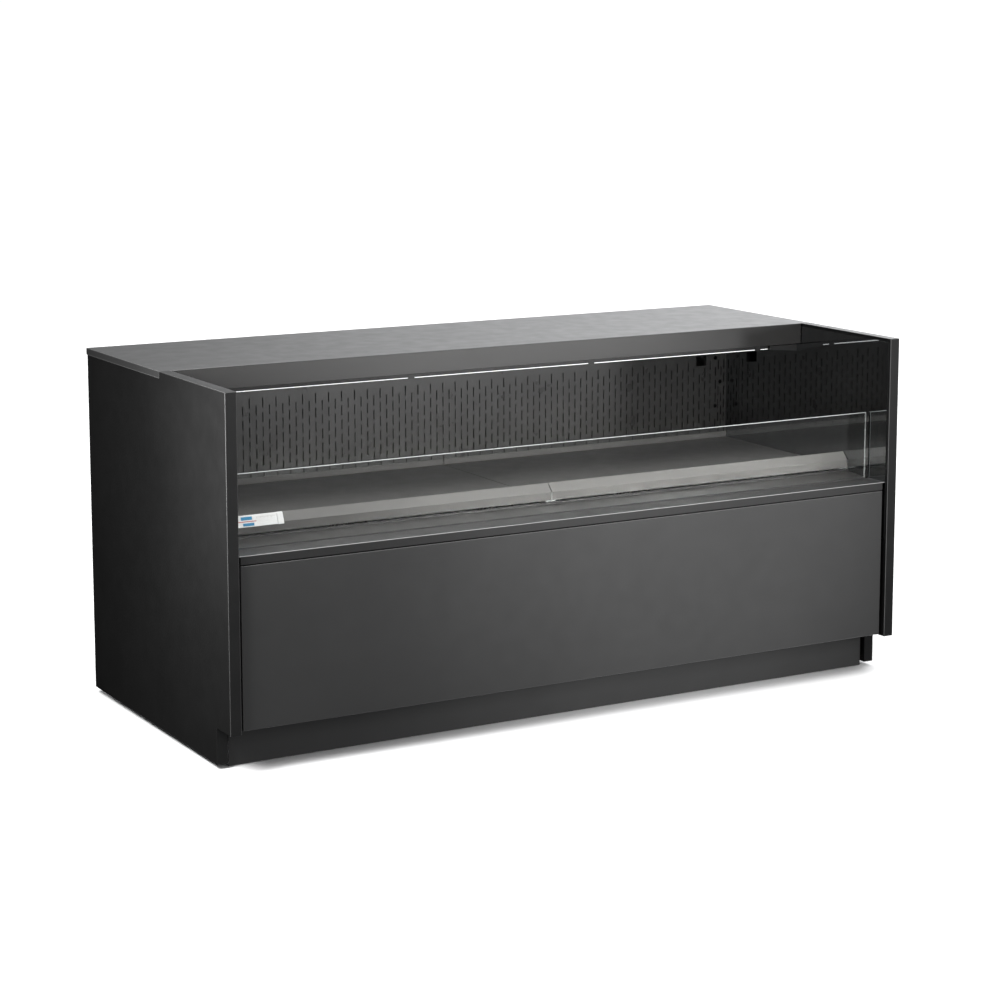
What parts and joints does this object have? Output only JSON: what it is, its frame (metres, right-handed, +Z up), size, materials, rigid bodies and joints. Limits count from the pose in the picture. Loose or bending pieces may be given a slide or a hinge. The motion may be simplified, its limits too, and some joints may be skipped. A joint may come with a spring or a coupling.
{
  "type": "refrigerated deli case",
  "caption": "Low open-front refrigerated deli case, black, with thick end panels, flat top, slotted rear air panel, lift-out deck pans, front glass and plain lower front.",
  "frame": {"origin": "on the floor, at the middle of the length and of the overall depth", "axes": "+X along the case to the shopper's right, +Y towards the back, +Z up; the open front faces -Y"},
  "size_m": [1.792, 0.8216, 0.84],
  "materials": {
    "black_paint": "satin black powder coat, very fine texture",
    "black_laminate": "satin black laminate on the end boards",
    "ledge_paint": "satin black powder coat on the ledge",
    "air_panel_paint": "semi-gloss dark grey powder coat",
    "tank_lining": "black inner lining of the insulated tank",
    "deck_paint": "satin dark grey powder coat on the deck pans",
    "black_interior": "satin black powder coat, a little glossier than the casing",
    "mirror_steel": "mirror-polished steel, darkened by the black interior",
    "clear_glass": "clear tempered glass with polished edges",
    "white_diffuser": "opal white light diffuser",
    "white_plastic": "white moulded plastic",
    "black_plastic": "matt black moulded plastic",
    "fan_plastic": "black moulded nylon",
    "grey_plastic": "grey drain pipe plastic",
    "foam": "rigid foam, faced in grey",
    "pipe_foam": "black foam pipe lagging",
    "rubber": "black rubber",
    "galvanised": "galvanised sheet, satin",
    "stainless": "stainless sheet, satin",
    "zinc_steel": "zinc-plated steel",
    "black_screw": "black oxide screw heads",
    "frame_paint": "black painted steel tube",
    "motor_paint": "dark grey enamel",
    "compressor_paint": "gloss black enamel",
    "fin_aluminium": "bare aluminium fins",
    "copper": "copper tube"
  },
  "bodies": {
    "case": {"air_duct_plate": "galvanised", "back_skin": "black_paint", "base_pan": "galvanised", "base_rails": "frame_paint", "compressor": "compressor_paint", "compressor_grommets": "rubber", "condensate_pan": "stainless", "condenser_coil": "fin_aluminium", "condenser_fan_motor": "motor_paint", "condenser_fan_shroud": "galvanised", "deck_rails": "galvanised", "deck_stops": "stainless", "discharge_grille": "black_plastic", "drain_pipe": "grey_plastic", "electrical_box": "motor_paint", "evaporator_coil": "fin_aluminium", "evaporator_fan_motors": "motor_paint", "evaporator_fan_shroud": "galvanised", "filter_drier": "copper", "frame_posts": "frame_paint", "front_glass": "clear_glass", "front_ledge": "ledge_paint", "front_rails": "galvanised", "glass_channel": "black_plastic", "header_panel": "black_interior", "inner_ledge": "black_interior", "left_end_panel": "black_laminate", "left_mirror_liner": "mirror_steel", "levelling_feet": "zinc_steel", "light_clips": "black_plastic", "light_diffuser": "white_diffuser", "light_end_brackets": "black_plastic", "light_rail": "black_plastic", "light_switch_bezel": "black_plastic", "panel_magnets": "black_plastic", "power_gland": "black_plastic", "rear_air_panel": "air_panel_paint", "rear_filler_strips": "air_panel_paint", "rear_flashing": "black_paint", "rear_grille": "black_paint", "rear_insulated_wall": "tank_lining", "rear_screws": "black_screw", "refrigerant_lines": "copper", "right_end_panel": "black_laminate", "right_mirror_liner": "mirror_steel", "suction_line": "pipe_foam", "tank_floor": "tank_lining", "tank_front_wall": "tank_lining", "top_insulation": "foam", "top_panel": "black_paint"},
    "left_evaporator_fan": {"left_evaporator_fan": "fan_plastic"},
    "centre_evaporator_fan": {"centre_evaporator_fan": "fan_plastic"},
    "right_evaporator_fan": {"right_evaporator_fan": "fan_plastic"},
    "condenser_fan": {"condenser_fan": "fan_plastic"},
    "left_deck_pan": {"left_deck_pan": "deck_paint", "thermometer": "white_plastic"},
    "right_deck_pan": {"right_deck_pan": "deck_paint"},
    "front_panel": {"front_panel": "black_paint"},
    "toe_kick": {"toe_kick": "black_paint"},
    "light_switch_rocker": {"light_switch_rocker": "black_plastic"}
  },
  "joints": [
    {"name": "left_evaporator_fan_spin", "type": "hinge", "parent": "case", "child": "left_evaporator_fan", "pos_m": [-0.4, 0.01875, 0.408], "axis": [0, 1, 0], "continuous": true},
    {"name": "centre_evaporator_fan_spin", "type": "hinge", "parent": "case", "child": "centre_evaporator_fan", "pos_m": [0, 0.01875, 0.408], "axis": [0, 1, 0], "continuous": true},
    {"name": "right_evaporator_fan_spin", "type": "hinge", "parent": "case", "child": "right_evaporator_fan", "pos_m": [0.4, 0.01875, 0.408], "axis": [0, 1, 0], "continuous": true},
    {"name": "condenser_fan_spin", "type": "hinge", "parent": "case", "child": "condenser_fan", "pos_m": [0.3, 0.237, 0.19], "axis": [0, 1, 0], "continuous": true},
    {"name": "left_deck_pan_lift", "type": "slide", "parent": "case", "child": "left_deck_pan", "axis": [0, 0, 1], "range_m": [0, 0.15]},
    {"name": "right_deck_pan_lift", "type": "slide", "parent": "case", "child": "right_deck_pan", "axis": [0, 0, 1], "range_m": [0, 0.15]},
    {"name": "front_panel_pull", "type": "slide", "parent": "case", "child": "front_panel", "axis": [0, -1, 0], "range_m": [0, 0.15]},
    {"name": "toe_kick_pull", "type": "slide", "parent": "case", "child": "toe_kick", "axis": [0, -1, 0], "range_m": [0, 0.15]},
    {"name": "light_switch_rock", "type": "hinge", "parent": "case", "child": "light_switch_rocker", "pos_m": [-0.7, 0.39745, 0.2], "axis": [1, 0, 0], "range_deg": [0, 14]}
  ]
}
